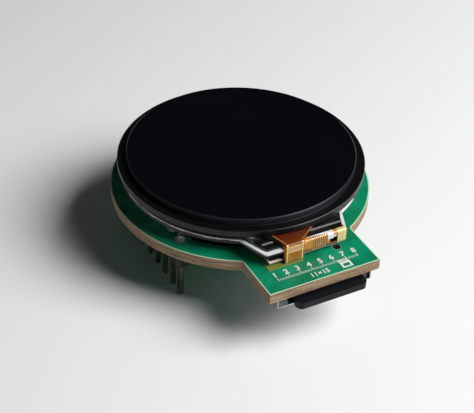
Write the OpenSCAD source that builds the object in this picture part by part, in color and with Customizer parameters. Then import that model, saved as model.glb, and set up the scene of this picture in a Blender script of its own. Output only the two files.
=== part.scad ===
// Round display module with a touch lens, on a carrier board with pin headers and a memory card socket.
// The origin is at the centre of the pin pattern, on the seating face of the header insulators.
// +Z leaves the display face, and the board's tongue with the card socket points along -Y.

/* [Board] */
// Diameter of the round part of the board
board_d = 38; // [37.4:0.2:42]
// Thickness of the board
board_t = 1.6; // [1:0.2:2]
// Width of the tongue that carries the card socket
tongue_w = 17.2; // [16.8:0.2:20]
// Length of the tongue beyond the round part of the board
tongue_l = 5.7; // [5.3:0.1:9]
// Radius of the milled inside corners beside the tongue
inside_r = 0.6; // [0.3:0.1:1.5]

/* [Pin headers] */
// Number of pins in each row
pin_count = 8; // [4:1:9]
// Distance between neighbouring pins of a row
pin_pitch = 2.54; // [2:0.01:2.54]
// Distance from the board's edge to each row, which then goes to the nearest place on the pin grid
row_margin = 5; // [4.6:0.1:6]
// Side of the square pins
pin_w = 0.64; // [0.4:0.01:0.7]
// Free length of the pins below the insulators
pin_length = 6; // [4:0.5:9]
// Height of the insulators
insulator_h = 2.54; // [1.9:0.01:3]
// Width of the insulators
insulator_w = 2.5; // [2:0.1:2.54]
// Diameter of the plated holes in the board
pin_hole_d = 1; // [1:0.02:1.2]
// Diameter of the solder fillets on the board
solder_d = 1.7; // [1.5:0.1:1.9]

/* [Display stack] */
// Gap between the board and the back of the display
display_gap = 1.9; // [1.8:0.1:2.6]
// Setback of the backlight frame from the board's edge
frame_setback = 1.5; // [1.2:0.05:2]
// Width of the backlight frame's wall
frame_wall = 0.9; // [0.6:0.1:1.2]
// Height of the backlight frame
frame_t = 0.6; // [0.6:0.05:1]
// Length of the display's chin beyond its round frame
chin_l = 2.3; // [2:0.05:2.8]
// Width of the chin at its front
chin_front_w = 12.7; // [12:0.1:14]
// Width of the chin where it leaves the circle
chin_root_w = 16; // [15.4:0.1:17]
// Sideways shift of the chin
chin_shift = -0.3; // [-0.5:0.1:0.5]
// Thickness of each polariser
polariser_t = 0.1; // [0.08:0.01:0.2]
// Thickness of each sheet of display glass
glass_t = 0.25; // [0.2:0.05:0.4]
// Thickness of the clear adhesive under the touch glass
adhesive_t = 0.15; // [0.1:0.05:0.3]

/* [Lens] */
// Width of the touch glass beyond the backlight frame
touch_rim = 0.5; // [0.1:0.05:0.8]
// Thickness of the touch sensor glass
touch_t = 1.04; // [0.6:0.02:1.2]
// Setback of the cover lens from the edge of the touch glass
lens_setback = 1.3; // [0.5:0.1:2]
// Thickness of the cover lens
lens_t = 1.04; // [0.7:0.02:1.4]
// Edge bevel of the cover lens
lens_bevel = 0.15; // [0.05:0.01:0.3]

/* [Flexible circuits] */
// Thickness of the flexible circuits
flex_t = 0.1; // [0.06:0.01:0.12]
// Inside bend radius of the flexible circuits
flex_bend_r = 0.25; // [0.2:0.05:0.35]
// Gap between the chin and the display flex in front of it
flex_gap = 0.05; // [0.02:0.01:0.1]
// Width of the display flex
display_flex_w = 9.8; // [6:0.1:10]
// Sideways place of the display flex's centre
display_flex_x = 1; // [0:0.1:1.2]
// Width of the window in the display flex
flex_window_w = 1.2; // [0.5:0.1:2]
// Width of the touch flex where it is folded
touch_flex_w = 2.9; // [2.5:0.1:4]
// Sideways place of the touch flex's fold
touch_flex_x = -2.3; // [-3:0.05:-1.5]
// Width of the touch flex where it leaves the lens
touch_root_w = 9.2; // [6:0.1:10]
// Width of the touch flex where it lies on the board
touch_foot_w = 5.4; // [4:0.1:6]

/* [Card socket] */
// Width of the socket's metal shell
socket_w = 14.7; // [14.3:0.1:15.4]
// Length of the socket behind the seated card's stop
socket_rear_l = 0.45; // [0.3:0.05:0.8]
// Overhang of the socket past the tongue's end
socket_overhang = 0; // [0:0.1:1]
// Sideways place of the card slot, beside which the wider wall stands
slot_x = 0.6; // [0:0.1:0.8]
// Thickness of the shell's sheet metal
shell_t = 0.15; // [0.1:0.01:0.2]
// Thickness of the socket's plastic floor
floor_t = 0.25; // [0.25:0.01:0.4]
// Distance from the socket's front to its locating pegs
peg_setback = 4.95; // [4:0.05:6]
// Distance between the socket's two locating pegs
peg_spacing = 9.2; // [8:0.1:10]
// Diameter of the locating pegs
peg_d = 1; // [0.8:0.05:1]
// Diameter of the holes in the board for the pegs
peg_hole_d = 1.2; // [1.1:0.05:1.4]

/* [Memory card] */
// Width of the card
card_w = 11; // [10.9:0.05:11.1]
// Length of the card
card_l = 15; // [14.9:0.05:15.1]
// Thickness of the card
card_t = 0.7; // [0.65:0.01:0.75]
// Thickness of the card at its grip
grip_t = 1; // [0.9:0.01:1.1]
// Length of the card outside the socket when it is seated
card_out = 1.5; // [1.2:0.05:1.7]
// Clearance between the card and the socket on every side
card_gap = 0.1; // [0.06:0.01:0.15]

/* [Hidden] */
eps = 0.01;

// Heights of the board's two faces
board_z = insulator_h;
top_z = board_z + board_t;

// Reach of the tongue from the board's centre
tongue_reach = board_d / 2 + tongue_l;

// Diameters of the display's frame and of the two glass discs, and the reach of its chin
frame_d = board_d - 2 * frame_setback;
chin_reach = frame_d / 2 + chin_l;
touch_d = frame_d + 2 * touch_rim;
lens_d = touch_d - 2 * lens_setback;

// Distance between the two rows of pins, on the pin grid
row_spacing = round((board_d - 2 * row_margin) / pin_pitch) * pin_pitch;

// Heights of the layers of the display, from the back to the lens
display_z = top_z + display_gap;
rear_polariser_z = display_z + frame_t;
array_z = rear_polariser_z + polariser_t;
filter_z = array_z + glass_t;
front_polariser_z = filter_z + glass_t;
adhesive_z = front_polariser_z + polariser_t;
touch_z = adhesive_z + adhesive_t;
lens_z = touch_z + touch_t;
lens_top = lens_z + lens_t;

// Layers inside the backlight frame
film_t = 0.06;
light_guide_t = frame_t - 3 * film_t - 2 * eps;
film_gap = 0.1;
chin_corner_r = 0.4;
chin_root_l = 3;
led_count = 3;
led_w = 2.4;
led_l = 0.45;
led_h = 0.36;
led_pitch = 3.6;
led_setback = 1.3;
led_gap = 0.1;
led_strip_l = 1.1;
led_strip_t = 0.05;

// Insets of the glass and the films from the frame's outline
glass_inset = 0.45;
polariser_inset = 0.5;
ledge_l = 2.7;
ledge_y = chin_reach - ledge_l;
ledge_gap = 0.3;
glass_front = chin_reach + flex_gap - flex_bend_r - 0.02;
chip_w = 9.5;
chip_l = 0.9;
chip_h = 0.25;
chip_setback = 2.1;
tape_t = 0.06;
tape_setback = 0.5;
tape_slope = 0.2;
tape_gap = 0.05;

// Solder and pins
pad_ring = 0.05;
pin_top_gap = 0.6;
pin_tip = 0.35;
pin_bevel = 0.2;
solder_h = 0.7;
insulator_cut = 0.45;
pin_row_l = (pin_count - 1) * pin_pitch;
pin_top_z = display_z - pin_top_gap;

// Foam under the display, kept clear of the solder joints and of the folded flexes
foam_inset = 1.5;
foam_gap = 0.5;
foam_d = frame_d - 2 * foam_inset;
foam_half_w = row_spacing / 2 - solder_d / 2 - foam_gap;
flex_foam_inset = 0.35;
flex_bay_l = 15.2;
flex_bay_gap = 0.9;

// Flexible circuits
stiffener_t = 0.18;
stiffener_setback = 0.1;
stiffener_l = 8.8;
stiffener_w = 11.4;
fold_rise = 0.8;
fold_z = top_z + fold_rise;
flex_front = chin_reach + flex_gap;
touch_front = flex_front + flex_t + flex_gap;
bond_l = 0.9;
display_tail_setback = 10.6;
display_tail_l = 2.6;
display_tail_y = chin_reach - display_tail_setback;
display_tail_end = display_tail_y - display_tail_l;
tail_drop = 1.6;
touch_root_l = 1.3;
touch_root_y = touch_d / 2 - touch_root_l;
adhesive_gap = 0.1;
touch_foot_setback = 8;
touch_foot_end = chin_reach - touch_foot_setback;
touch_foot_x = -3.7;
touch_foot_lip = 0.45;
controller_w = 3;
controller_h = 0.4;
controller_setback = 4.8;
controller_y = chin_reach - controller_setback;
window_inset = 2.6;
window_rise = 0.45;
window_h = 1.3;
window_back = 0.4;
window_x = display_flex_x + display_flex_w / 2 - window_inset;
flex_pad_pitch = 0.7;
flex_pad_w = 0.35;
flex_pad_l = 0.8;
flex_pad_h = 0.08;
flex_pad_inset = 0.1;
display_pad_count = 12;
touch_pad_count = 6;

// Card socket, with depths measured down from the board's underside
socket_front = tongue_reach + socket_overhang;
card_face = floor_t + card_gap;
card_tail = socket_front + card_out;
card_nose = card_tail - card_l;
stop_gap = 0.25;
stop_y = card_nose - stop_gap;
socket_back = stop_y - socket_rear_l;
socket_l = socket_front - socket_back;
shell_inside = card_face + card_t + card_gap;
shell_depth = shell_inside + shell_t;
body_inset = 1.5;
rail_inside = card_w / 2 + card_gap;
body_w = socket_w - 2 * shell_t;
wall_gap = 0.02;
peg_y = socket_front - peg_setback;
peg_l = board_t - 0.3;
contact_count = 8;
contact_pitch = 1.1;
contact_w = 0.4;
contact_t = 0.1;
contact_tail = 0.9;
contact_reach = 3.8;
contact_slack = 0.03;
contact_gap = 0.05;
slot_side = 0.1;
slot_end = 0.6;
tab_w = 0.7;
tab_l = 1.3;
tab_inset = 1.6;
side_gap_setbacks = [4.6, 8.6];
side_gap_l = 2.2;
side_band_h = 0.52;

// Openings in the shell's flat face
thumb_notch_r = 4.2;
thumb_notch_out = 2.6;
finger_l = 3.6;
finger_w = 1.1;
finger_slot = 0.3;
finger_x = 3.1;
finger_setback = 9.6;
contact_view_w = 8.4;
contact_view_l = 1.5;
contact_view_setback = 3.4;
card_view_w = 1.2;
card_view_l = 3.4;
card_view_setback = 8.4;

// Bay of the leaf spring that feels the card
detect_bay_w = 0.7;
detect_bay_gap = 0.2;
detect_l = 2.2;
detect_setback = 0.8;
detect_rest = 0.45;
detect_rise = 0.15;

// Memory card outline
card_step = 1.3;
card_step_y = 6.4;
tooth_l = 0.9;
notch_l = 1.1;
notch_depth = 0.6;
card_tail_r = 0.9;
card_nose_r = 0.6;
grip_l = 1.2;
card_pad_w = 0.8;
card_pad_l = 2.9;
card_pad_t = 0.03;
card_pad_setback = 0.6;

// Small parts on the board's underside
sot_w = 2.9;
sot_l = 1.6;
sot_h = 1.05;
sot_draft = 0.12;
sot_standoff = 0.1;
sot_lead_w = 0.4;
sot_lead_t = 0.15;
sot_lead_reach = 0.62;
sot_pitch = 0.95;
regulator_at = [-4.6, 3.4];
transistor_at = [4.8, 3.4];
passive_w = 1.6;
passive_l = 0.8;
capacitor_h = 0.8;
resistor_h = 0.45;
terminal_l = 0.35;
terminal_skin = 0.02;
capacitor_at = [[-7.6, 6.4], [-1.6, 6.4], [-7.6, 0.2], [-1.6, 0.2]];
resistor_at = [[2, 6.6], [4.8, 6.6], [7.6, 6.6], [2, -0.6], [4.8, -0.6], [7.6, -0.6]];

// ---------------------------------------------------------------- helpers

function unit(v) = v / norm(v);

function left_of(v) = [-v[1], v[0]];

function arc(center, r, from, to, steps = 8) =
  [for (i = [0:steps]) let (a = from + (to - from) * i / steps) center + r * [cos(a), sin(a)]];

function reversed(list) = [for (i = [len(list) - 1:-1:0]) list[i]];

function path_normal(path, i) =
  left_of(unit(path[min(i + 1, len(path) - 1)] - path[max(i - 1, 0)]));

function beside(path, d) = [for (i = [0:len(path) - 1]) path[i] + d * path_normal(path, i)];

// Strip w wide in X and t thick that follows a path of [y, z] points
module ribbon(path, t, w) {
  rotate([90, 0, 90])
    linear_extrude(w, center = true)
      polygon(concat(beside(path, t / 2), reversed(beside(path, -t / 2))));
}

// Convex outline with round corners of radius r, its points given anticlockwise
module rounded(points, r) {
  n = len(points);
  corners = [
    for (i = [0:n - 1])
      let (
        to_last = unit(points[(i + n - 1) % n] - points[i]),
        to_next = unit(points[(i + 1) % n] - points[i]),
        half = acos(to_last * to_next) / 2,
        reach = r / tan(half)
      )
      [points[i] + to_last * reach, points[i] + to_next * reach,
       points[i] + unit(to_last + to_next) * r / sin(half)]
  ];
  polygon([for (c = corners) each [c[0], c[1]]]);
  for (c = corners) {
    translate(c[2])
      circle(r, $fn = 48);
  }
}

// Box with its lowest corner at the height z, centred on [x, y]
module block(size, at, z) {
  translate([at[0] - size[0] / 2, at[1] - size[1] / 2, z])
    cube(size);
}

// Places its children at each pin of both rows, or of one side
module at_pins(sides = [-1, 1]) {
  for (side = sides, i = [0:pin_count - 1]) {
    translate([side * row_spacing / 2, i * pin_pitch - pin_row_l / 2, 0])
      children();
  }
}

// ---------------------------------------------------------------- board

// Filled inside corner where the round board meets the tongue
module inside_corner() {
  y = -sqrt(pow(board_d / 2 + inside_r, 2) - pow(tongue_w / 2 + inside_r, 2));
  center = [tongue_w / 2 + inside_r, y];
  touch = center * (board_d / 2) / (board_d / 2 + inside_r);
  difference() {
    polygon([[tongue_w / 2 - inside_r, y], [tongue_w / 2, y], center, touch, touch * 0.95]);
    translate(center)
      circle(inside_r, $fn = 48);
  }
}

module board_outline() {
  circle(d = board_d, $fn = 180);
  translate([-tongue_w / 2, -tongue_reach])
    square([tongue_w, tongue_reach]);
  inside_corner();
  mirror([1, 0])
    inside_corner();
}

module pcb() {
  color("seagreen")
    translate([0, 0, board_z])
      linear_extrude(board_t)
        difference() {
          board_outline();
          at_pins()
            circle(d = pin_hole_d, $fn = 32);
          for (side = [-1, 1]) {
            translate([side * peg_spacing / 2, -peg_y])
              circle(d = peg_hole_d, $fn = 32);
          }
        }
}

// One solder joint: the filled hole and the hollow-sided fillet on the display side
module solder_joint() {
  steps = 6;
  base = solder_d / 2;
  neck = pin_w * 0.72;
  fillet = [
    for (i = [0:steps])
      let (s = i / steps)
      [neck + (base - neck) * pow(1 - s, 2), top_z + pad_ring + (solder_h - pad_ring) * s]
  ];
  difference() {
    union() {
      translate([0, 0, board_z])
        cylinder(h = board_t, d = pin_hole_d, $fn = 32);
      rotate_extrude($fn = 48)
        polygon(concat([[0, top_z - eps], [pin_hole_d / 2, top_z - eps], [pin_hole_d / 2, top_z],
                        [base, top_z]], fillet, [[0, top_z + solder_h]]));
    }
    translate([-pin_w / 2, -pin_w / 2, board_z - 1])
      cube([pin_w, pin_w, board_t + solder_h + 2]);
  }
}

module solder_joints() {
  color("silver")
    at_pins()
      solder_joint();
}

// ---------------------------------------------------------------- pin headers

// Row of moulded cells with cut corners, one for each pin
module insulator(side) {
  w = insulator_w / 2;
  c = insulator_cut;
  l = pin_pitch / 2;
  color("#202224")
    linear_extrude(insulator_h)
      difference() {
        at_pins([side])
          polygon([[w, l - c], [w - c, l], [c - w, l], [-w, l - c],
                   [-w, c - l], [c - w, -l], [w - c, -l], [w, c - l]]);
        at_pins([side])
          square(pin_w, center = true);
      }
}

// Outline of a pin seen from one side, with a tapered tip at each end
module pin_side() {
  w = pin_w / 2;
  rotate([90, 0, 0])
    linear_extrude(pin_w, center = true)
      polygon([[-w, pin_tip - pin_length], [pin_bevel - w, -pin_length], [w - pin_bevel, -pin_length],
               [w, pin_tip - pin_length], [w, pin_top_z - pin_tip], [w - pin_bevel, pin_top_z],
               [pin_bevel - w, pin_top_z], [-w, pin_top_z - pin_tip]]);
}

module pins(side) {
  color("goldenrod")
    at_pins([side])
      intersection() {
        pin_side();
        rotate([0, 0, 90])
          pin_side();
      }
}

module header_left_body() {
  insulator(-1);
}

module header_right_body() {
  insulator(1);
}

module header_left_pins() {
  pins(-1);
}

module header_right_pins() {
  pins(1);
}

// ---------------------------------------------------------------- card socket

// Places its children at each contact, the first one at the left
module at_contacts() {
  for (i = [0:contact_count - 1]) {
    translate([slot_x + (i - (contact_count - 1) / 2) * contact_pitch + card_step / 2, 0, 0])
      children();
  }
}

module card_socket_body() {
  depth = shell_inside - wall_gap;
  front = socket_front - body_inset;
  contact_slot_l = contact_reach + slot_end;
  color("#1c1c1e") {
    difference() {
      translate([-body_w / 2, -front, board_z - depth])
        cube([body_w, front - socket_back, depth]);
      translate([slot_x - rail_inside, -front - 1, board_z - depth - 1])
        cube([2 * rail_inside, front - stop_y + 1, depth - floor_t + 1]);
      at_contacts()
        translate([-contact_w / 2 - slot_side, -stop_y - contact_slot_l, board_z - depth - 1])
          cube([contact_w + 2 * slot_side, contact_slot_l, depth + 2]);
      at_contacts()
        translate([-contact_w / 2, -stop_y - 1, board_z - 2 * contact_t])
          cube([contact_w, socket_rear_l + 2, 3 * contact_t]);
      translate([slot_x + rail_inside - 1, -stop_y - detect_setback - detect_l - detect_bay_gap,
                 board_z - depth - 1])
        cube([1 + detect_bay_w, detect_l + 2 * detect_bay_gap, depth - floor_t + 1]);
    }
    for (side = [-1, 1]) {
      translate([side * peg_spacing / 2, -peg_y, board_z - eps])
        cylinder(h = peg_l + eps, d = peg_d, $fn = 32);
    }
  }
}

// U-shaped cut that frees a spring finger in the shell
module finger_cut() {
  difference() {
    translate([-finger_w / 2 - finger_slot, 0])
      square([finger_w + 2 * finger_slot, finger_l + finger_slot]);
    translate([-finger_w / 2, -1])
      square([finger_w, finger_l + 1]);
  }
}

module shell_plan() {
  difference() {
    translate([-socket_w / 2, -socket_front])
      square([socket_w, socket_l]);
    translate([slot_x, -socket_front - thumb_notch_out])
      circle(thumb_notch_r, $fn = 96);
    for (side = [-1, 1]) {
      translate([slot_x + side * finger_x, -socket_back - finger_setback])
        finger_cut();
    }
    translate([slot_x - contact_view_w / 2, -socket_back - contact_view_setback])
      square([contact_view_w, contact_view_l]);
    translate([slot_x - card_view_w / 2, -socket_back - card_view_setback])
      square([card_view_w, card_view_l]);
  }
}

// The shell's fixing tabs, soldered to the board beside the socket
module shell_tabs() {
  for (side = [-1, 1], y = [-socket_front + tab_inset, -socket_back - tab_inset - tab_l]) {
    translate([side * (socket_w + tab_w) / 2 - (tab_w + eps) / 2, y, board_z - shell_t])
      cube([tab_w + eps, tab_l, shell_t]);
  }
}

module card_socket_shell() {
  color("gainsboro") {
    translate([0, 0, board_z - shell_depth])
      linear_extrude(shell_t)
        shell_plan();
    difference() {
      translate([-socket_w / 2, -socket_front, board_z - shell_depth])
        cube([socket_w, socket_l, shell_depth]);
      translate([-socket_w / 2 + shell_t, -socket_front - 1, board_z - shell_depth - 1])
        cube([socket_w - 2 * shell_t, socket_l + 2, shell_depth + 2]);
      for (setback = side_gap_setbacks) {
        translate([-socket_w / 2 - 1, setback - socket_front, board_z - shell_depth + side_band_h])
          cube([socket_w + 2, side_gap_l, shell_depth]);
      }
    }
    shell_tabs();
  }
}

// Bent spring contacts with their soldered feet behind the socket
module card_socket_contacts() {
  rest = board_z - contact_t / 2;
  crest = board_z - card_face + contact_gap + contact_t / 2;
  path = [
    [-socket_back + contact_tail, rest],
    [-stop_y - 0.16 * contact_reach, rest],
    [-stop_y - 0.58 * contact_reach, crest + contact_slack],
    [-stop_y - 0.71 * contact_reach, crest],
    [-stop_y - 0.82 * contact_reach, crest + contact_slack],
    [-stop_y - contact_reach, rest - contact_slack]
  ];
  color("gold")
    at_contacts()
      ribbon(path, contact_t, contact_w);
}

// Leaf spring in the side rail that feels the seated card
module card_detect_spring() {
  x = slot_x + rail_inside + detect_rest;
  bump = slot_x + rail_inside - card_gap / 2 + contact_t / 2;
  back = -stop_y - detect_setback;
  path = [[back - detect_l, x], [back - 0.64 * detect_l, bump + detect_rise], [back - 0.45 * detect_l, bump],
          [back - 0.27 * detect_l, bump + detect_rise], [back, x]];
  h = card_t;
  color("gold")
    translate([0, 0, board_z - card_face - h])
      linear_extrude(h)
        polygon([for (p = concat(beside(path, contact_t / 2), reversed(beside(path, -contact_t / 2))))
                 [p[1], p[0]]]);
}

// ---------------------------------------------------------------- memory card

// Outline of the card, its grip end at the front and its narrow end inside the socket
module card_outline() {
  translate([slot_x, 0])
    centred_card_outline();
}

module centred_card_outline() {
  w = card_w / 2;
  y0 = -card_tail;
  y1 = -card_nose;
  step = y1 - card_step_y;
  tooth = step - card_step;
  difference() {
    rounded([[-w, y0], [w, y0], [w, y1], [-w, y1]], card_nose_r);
    translate([-w - 1, y0 - 1])
      difference() {
        square([card_w + 2, card_tail_r + 1]);
        translate([1, 1])
          rounded([[0, 0], [card_w, 0], [card_w, 4 * card_tail_r], [0, 4 * card_tail_r]], card_tail_r);
      }
    polygon([[-w - 1, y1 + 1], [-w - 1, tooth - eps], [-w, tooth - eps],
             [-w + card_step, step], [-w + card_step, y1 + 1]]);
    translate([-w - 1, tooth - tooth_l - notch_l])
      square([1 + notch_depth, notch_l]);
  }
}

// Contact pads of the card, flush with its upper face
module card_pads_plan() {
  at_contacts()
    translate([-card_pad_w / 2, -card_nose - card_pad_setback - card_pad_l])
      square([card_pad_w, card_pad_l]);
}

module memory_card() {
  color("#17181c")
    difference() {
      union() {
        translate([0, 0, board_z - card_face - card_t])
          linear_extrude(card_t)
            card_outline();
        translate([0, 0, board_z - card_face - grip_t])
          linear_extrude(grip_t)
            intersection() {
              card_outline();
              translate([slot_x - card_w / 2 - 1, -card_tail - 1])
                square([card_w + 2, grip_l + 1]);
            }
      }
      translate([0, 0, board_z - card_face - card_pad_t])
        linear_extrude(1)
          card_pads_plan();
    }
}

module memory_card_pads() {
  color("gold")
    translate([0, 0, board_z - card_face - card_pad_t])
      linear_extrude(card_pad_t)
        card_pads_plan();
}

// ---------------------------------------------------------------- display body

// Outline of the display with its chin, drawn in by an inset
module display_outline(inset) {
  shoulder_y = sqrt(pow(frame_d / 2, 2) - pow(chin_root_w / 2, 2));
  slope = (chin_root_w - chin_front_w) / 2 / (chin_reach - shoulder_y);
  front = chin_front_w / 2 - inset;
  root = chin_root_w / 2 + slope * chin_root_l - inset;
  circle(frame_d / 2 - inset, $fn = 180);
  translate([chin_shift, 0])
    rounded([[-front, inset - chin_reach], [front, inset - chin_reach],
             [root, chin_root_l - shoulder_y], [-root, chin_root_l - shoulder_y]], chin_corner_r);
}

// The part of the outline behind a straight cut across the chin
module round_area(inset, cut_y) {
  intersection() {
    display_outline(inset);
    translate([-frame_d, -cut_y])
      square([2 * frame_d, 2 * frame_d]);
  }
}

module layer(z, t) {
  translate([0, 0, z])
    linear_extrude(t)
      children();
}

module mounting_foam() {
  left = min(chin_shift - stiffener_w / 2, touch_foot_x - touch_foot_w / 2) - flex_bay_gap;
  right = max(chin_shift + stiffener_w / 2, display_flex_x + display_flex_w / 2) + flex_bay_gap;
  color("#151515")
    layer(top_z, display_gap)
      difference() {
        intersection() {
          circle(d = foam_d, $fn = 120);
          square([2 * foam_half_w, foam_d], center = true);
        }
        translate([left, -frame_d])
          square([right - left, frame_d - chin_reach + flex_bay_l]);
      }
}

module flex_foam() {
  z = fold_z + flex_t;
  color("#151515")
    translate([chin_shift - stiffener_w / 2 + flex_foam_inset, -chin_reach + flex_foam_inset, z])
      cube([stiffener_w - 2 * flex_foam_inset,
            chin_reach - display_tail_y - tail_drop - 2 * flex_foam_inset, display_z - z]);
}

module flex_stiffener() {
  color("mistyrose")
    translate([chin_shift - stiffener_w / 2, -chin_reach + stiffener_setback, fold_z - stiffener_t])
      cube([stiffener_w, stiffener_l, stiffener_t]);
}

module backlight_frame() {
  color("white")
    layer(display_z, frame_t)
      difference() {
        display_outline(0);
        display_outline(frame_wall);
      }
}

module reflector_film() {
  color("whitesmoke")
    layer(display_z, film_t)
      display_outline(frame_wall + film_gap);
}

module light_guide() {
  color("azure")
    layer(display_z + film_t, light_guide_t)
      round_area(frame_wall + film_gap, chin_reach - frame_wall - led_setback);
}

module diffuser_film() {
  color("white")
    layer(display_z + film_t + light_guide_t, film_t)
      round_area(frame_wall + film_gap, ledge_y);
}

module prism_film() {
  color("lightcyan")
    layer(display_z + 2 * film_t + light_guide_t, film_t)
      round_area(frame_wall + film_gap, ledge_y);
}

module led_strip() {
  color("orange")
    block([led_count * led_pitch, led_strip_l, led_strip_t],
          [chin_shift, -chin_reach + frame_wall + film_gap + led_strip_l / 2], display_z + film_t);
}

module backlight_leds() {
  color("lightyellow")
    for (i = [0:led_count - 1]) {
      block([led_w, led_l, led_h],
            [chin_shift + (i - (led_count - 1) / 2) * led_pitch,
             -chin_reach + frame_wall + led_setback - led_l / 2 - led_gap],
            display_z + film_t + led_strip_t);
    }
}

module rear_polariser() {
  color("#20242a")
    layer(rear_polariser_z, polariser_t)
      round_area(polariser_inset, ledge_y);
}

module array_glass() {
  color("#3a4248")
    layer(array_z, glass_t)
      round_area(glass_inset, glass_front);
}

module color_filter_glass() {
  color("#2a3036")
    layer(filter_z, glass_t)
      round_area(glass_inset, ledge_y);
}

module front_polariser() {
  color("#101216")
    layer(front_polariser_z, polariser_t)
      round_area(polariser_inset, ledge_y - ledge_gap);
}

module driver_chip() {
  color("#55585c")
    block([chip_w, chip_l, chip_h], [chin_shift, -chin_reach + chip_setback], filter_z);
}

// Black tape over the glass ledge, which steps up over the driver chip
module light_shield_tape() {
  low = filter_z + flex_t + tape_t / 2 + eps;
  high = filter_z + chip_h + tape_t / 2 + eps;
  chip_front = chin_reach - chip_setback + chip_l / 2;
  path = [[-chin_reach + tape_setback, low], [-chip_front - tape_gap - tape_slope, low],
          [-chip_front - tape_gap, high], [-ledge_y - tape_gap, high]];
  color("black")
    intersection() {
      ribbon(path, tape_t, chin_root_w);
      layer(filter_z, 1)
        display_outline(glass_inset + 0.1);
    }
}

// ---------------------------------------------------------------- flexible circuits

// Path of the display flex: bonded to the ledge, round the chin, back below it and down to the board
function display_flex_path() =
  let (
    r = flex_bend_r + flex_t / 2,
    y = -flex_front - flex_t / 2,
    high = filter_z + flex_t / 2,
    low = fold_z + flex_t / 2,
    foot = top_z + flex_t / 2
  )
  concat(
    [[-chin_reach + bond_l, high]],
    arc([y + r, high - r], r, 90, 180),
    arc([y + r, low + r], r, 180, 270),
    [[-display_tail_y - tail_drop, low], [-display_tail_y, foot], [-display_tail_end, foot]]
  );

module display_flex() {
  color("#c8861e")
    difference() {
      translate([display_flex_x, 0, 0])
        ribbon(display_flex_path(), flex_t, display_flex_w);
      translate([window_x, -flex_front - 1, fold_z + window_rise])
        cube([flex_window_w, 1 + window_back, window_h]);
    }
}

// Path of the touch flex: bonded below the touch glass, over the ledge, down to the board and back
function touch_flex_path() =
  let (
    r = flex_bend_r + flex_t / 2,
    y = -touch_front - flex_t / 2,
    root = touch_z - flex_t / 2,
    fold = filter_z + flex_t + tape_t + 2 * flex_t,
    foot = top_z + flex_t / 2
  )
  concat(
    [[-touch_root_y, root], [-touch_d / 2, root]],
    arc([y + r, fold - r], r, 75, 180),
    arc([y + r, foot + r], r, 180, 270),
    [[-touch_foot_end, foot]]
  );

module touch_flex() {
  fold_y = touch_front - 0.2;
  mid_z = filter_z - 0.2;
  foot_z = top_z + flex_t + eps;
  low = -touch_front - 1;
  color("#a8641a") {
    intersection() {
      ribbon(touch_flex_path(), flex_t, 4 * touch_root_w);
      union() {
        layer(mid_z, 3)
          polygon([[touch_flex_x - touch_flex_w / 2, low], [touch_flex_x + touch_flex_w / 2, low],
                   [touch_flex_x + touch_flex_w / 2, -fold_y],
                   [touch_flex_x + touch_root_w / 2 + 1, -touch_root_y],
                   [touch_flex_x + touch_root_w / 2 + 1, 0], [touch_flex_x - touch_root_w / 2 + 1, 0],
                   [touch_flex_x - touch_root_w / 2 + 1, -touch_root_y],
                   [touch_flex_x - touch_flex_w / 2, -fold_y]]);
        translate([touch_flex_x - touch_flex_w / 2, low, foot_z - 2 * eps])
          cube([touch_flex_w, 2, mid_z - foot_z + 3 * eps]);
        translate([touch_foot_x - touch_foot_w / 2, low, top_z - 1])
          cube([touch_foot_w, frame_d, foot_z - top_z + 1]);
      }
    }
    translate([touch_foot_x - touch_foot_w / 2, -touch_front - touch_foot_lip, top_z])
      cube([touch_foot_w, touch_foot_lip + 2 * flex_bend_r, flex_t]);
  }
}

module touch_controller() {
  color("#26282c")
    block([controller_w, controller_w, controller_h], [touch_foot_x, -controller_y], top_z + flex_t);
}

// Row of solder pads on the end of a flex, which lies at end_y
module flex_pads(count, x, end_y) {
  for (i = [0:count - 1]) {
    block([flex_pad_w, flex_pad_l, flex_pad_h],
          [x + (i - (count - 1) / 2) * flex_pad_pitch, -end_y - flex_pad_l / 2 - flex_pad_inset],
          top_z + flex_t);
  }
}

// Solder on the ends of both flexes, where they join the board
module flex_solder() {
  color("silver") {
    flex_pads(display_pad_count, display_flex_x, display_tail_end);
    flex_pads(touch_pad_count, touch_foot_x, touch_foot_end);
  }
}

// ---------------------------------------------------------------- lens

module lens_adhesive() {
  color("lightblue")
    layer(adhesive_z, adhesive_t)
      round_area(polariser_inset, min(ledge_y - ledge_gap, touch_root_y - adhesive_gap));
}

// Disc with bevelled rims
module disc(d, t, bevel) {
  r = d / 2;
  rotate_extrude($fn = 180)
    polygon([[0, 0], [r - bevel, 0], [r, bevel], [r, t - bevel], [r - bevel, t], [0, t]]);
}

module touch_sensor() {
  color("#0c0d10")
    translate([0, 0, touch_z])
      disc(touch_d, touch_t, lens_bevel / 2);
}

module cover_lens() {
  color("#050609")
    translate([0, 0, lens_z])
      disc(lens_d, lens_t, lens_bevel);
}

// ---------------------------------------------------------------- small parts on the underside

// Moulded body of a small outline package, hung below the board
module sot_body(at) {
  w = sot_l / 2;
  d = w - sot_draft;
  translate([at[0], at[1], board_z - sot_standoff - sot_h])
    rotate([90, 0, 90])
      linear_extrude(sot_w, center = true)
        polygon([[-d, 0], [d, 0], [w, sot_h / 2], [d, sot_h], [-d, sot_h], [-w, sot_h / 2]]);
}

// One gull-wing lead that leaves the package towards +Y
module sot_lead() {
  t = sot_lead_t;
  w = sot_l / 2;
  mid = board_z - sot_standoff - sot_h / 2;
  path = [[w - 0.02, mid], [w + 0.22, mid], [w + 0.34, board_z - t / 2],
          [w + sot_lead_reach, board_z - t / 2]];
  ribbon(path, t, sot_lead_w);
}

module sot_leads(at, front, back) {
  translate([at[0], at[1], 0]) {
    for (i = front) {
      translate([i * sot_pitch, 0, 0])
        mirror([0, 1, 0])
          sot_lead();
    }
    for (i = back) {
      translate([i * sot_pitch, 0, 0])
        sot_lead();
    }
  }
}

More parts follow.
